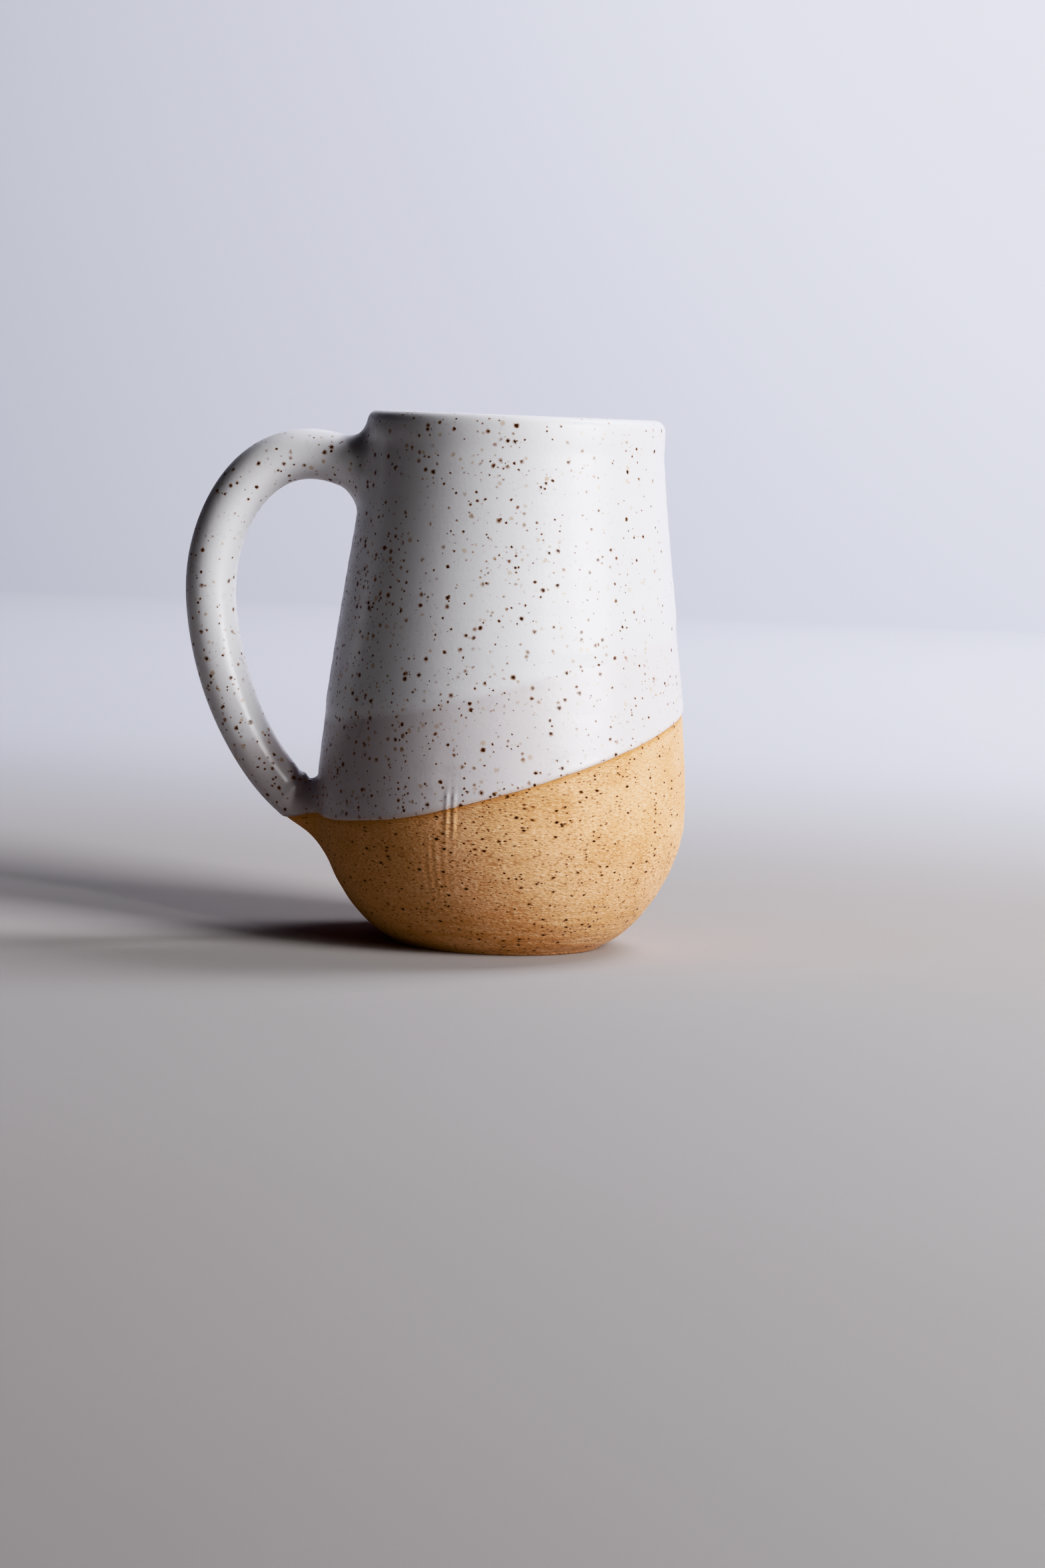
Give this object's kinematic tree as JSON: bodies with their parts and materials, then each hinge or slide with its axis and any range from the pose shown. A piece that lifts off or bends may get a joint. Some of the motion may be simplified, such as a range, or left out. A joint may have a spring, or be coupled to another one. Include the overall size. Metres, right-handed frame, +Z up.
{
  "type": "ceramic mug",
  "caption": "Round-bellied stoneware mug with a tall tapering neck, a loop handle, a tilted dip of white glaze and a bare clay base.",
  "frame": {"origin": "centre of the foot, on the plane the mug stands on", "axes": "+Z up along the axis the mug was thrown on; -X out through the handle; +Y across the handle's loop"},
  "size_m": [0.1173, 0.0852, 0.122],
  "materials": {
    "bare_clay": "unglazed grogged stoneware, rough",
    "handle_clay": "unglazed stoneware, smoothed by hand",
    "joint_clay": "unglazed stoneware slip, smeared",
    "liner_glaze": "satin white with iron specks",
    "thin_glaze": "satin off-white with iron specks, one coat",
    "double_glaze": "satin white with iron specks, two coats",
    "handle_glaze": "satin white with iron specks"
  },
  "bodies": {
    "root": {"thrown_body": "bare_clay", "pulled_handle": "handle_clay", "upper_handle_weld": "joint_clay", "lower_handle_coil": "joint_clay", "liner_glaze": "liner_glaze", "first_dip_glaze": "thin_glaze", "second_dip_glaze": "double_glaze", "handle_glaze": "handle_glaze"}
  },
  "joints": []
}
